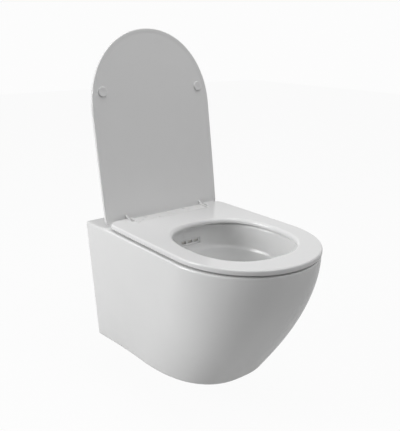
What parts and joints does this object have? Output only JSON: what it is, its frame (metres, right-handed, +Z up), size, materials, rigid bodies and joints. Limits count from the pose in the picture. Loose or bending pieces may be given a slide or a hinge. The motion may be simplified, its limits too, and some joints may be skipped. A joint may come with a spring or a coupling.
{
  "type": "wall hung toilet",
  "caption": "Rimless wall hung ceramic toilet with a D-shaped seat and lid on a soft-close hinge bar, held on the wall by two hidden brackets.",
  "frame": {"origin": "midway between the two wall studs, on the wall plane", "axes": "+Z up, the wall is the plane y = 0 and the front of the pan points along -Y"},
  "size_m": [0.3694, 0.561, 0.7955],
  "materials": {
    "ceramic": "glazed, glossy",
    "seat_plastic": "polished",
    "hinge_plastic": "satin",
    "inner_plastic": "moulded",
    "buffer_rubber": "matt",
    "black_rubber": "matt",
    "steel": "bright",
    "galvanised": "zinc plated"
  },
  "bodies": {
    "mounted": {"pan_deck": "ceramic", "pan_skirt_left": "ceramic", "pan_skirt_right": "ceramic", "pan_bowl": "ceramic", "pan_sump": "ceramic", "pan_trap": "ceramic", "pan_inlet": "ceramic", "hinge_bar": "hinge_plastic", "hinge_bar_plate": "inner_plastic", "button_spring": "steel", "inlet_seal": "black_rubber", "flush_diffuser": "inner_plastic", "lid_damper_housing": "inner_plastic", "seat_damper_housing": "inner_plastic", "hinge_post_left": "steel", "hinge_washer_left": "buffer_rubber", "expansion_sleeve_left": "black_rubber", "cone_nut_left": "steel", "wall_bracket_left": "galvanised", "wall_washer_left": "galvanised", "wall_nut_left": "galvanised", "clamp_screw_left": "galvanised", "clamp_insert_left": "inner_plastic", "hinge_post_right": "steel", "hinge_washer_right": "buffer_rubber", "expansion_sleeve_right": "black_rubber", "cone_nut_right": "steel", "wall_bracket_right": "galvanised", "wall_washer_right": "galvanised", "wall_nut_right": "galvanised", "clamp_screw_right": "galvanised", "clamp_insert_right": "inner_plastic"},
    "lid_assembly": {"lid": "seat_plastic", "lid_buffer_left": "buffer_rubber", "lid_buffer_right": "buffer_rubber", "lid_damper_shaft": "steel"},
    "seat_assembly": {"seat_ring": "seat_plastic", "seat_damper_shaft": "steel", "seat_buffer_front_left": "buffer_rubber", "seat_buffer_front_right": "buffer_rubber", "seat_buffer_rear_left": "buffer_rubber", "seat_buffer_rear_right": "buffer_rubber"},
    "button": {"release_button": "hinge_plastic"},
    "latch_left": {"release_latch_left": "steel"},
    "latch_right": {"release_latch_right": "steel"}
  },
  "joints": [
    {"name": "lid_hinge", "type": "hinge", "parent": "mounted", "child": "lid_assembly", "pos_m": [0, -0.0935, 0.088], "axis": [-1, 0, 0], "range_deg": [-98.7, 0]},
    {"name": "seat_hinge", "type": "hinge", "parent": "mounted", "child": "seat_assembly", "pos_m": [0, -0.0935, 0.088], "axis": [-1, 0, 0], "range_deg": [0, 94]},
    {"name": "button_press", "type": "slide", "parent": "mounted", "child": "button", "axis": [0, 0, -1], "range_m": [0, 0.002], "stiffness_N_per_m": 600, "springref_m": -0.002, "deforming": ["button_spring"]},
    {"name": "latch_left_slide", "type": "slide", "parent": "mounted", "child": "latch_left", "axis": [1, 0, 0], "range_m": [0, 0.002]},
    {"name": "latch_right_slide", "type": "slide", "parent": "mounted", "child": "latch_right", "axis": [-1, 0, 0], "range_m": [0, 0.002]}
  ],
  "couplings": [
    {"joint": "latch_left_slide", "follows": "button_press", "ratio": 1},
    {"joint": "latch_right_slide", "follows": "button_press", "ratio": 1}
  ]
}
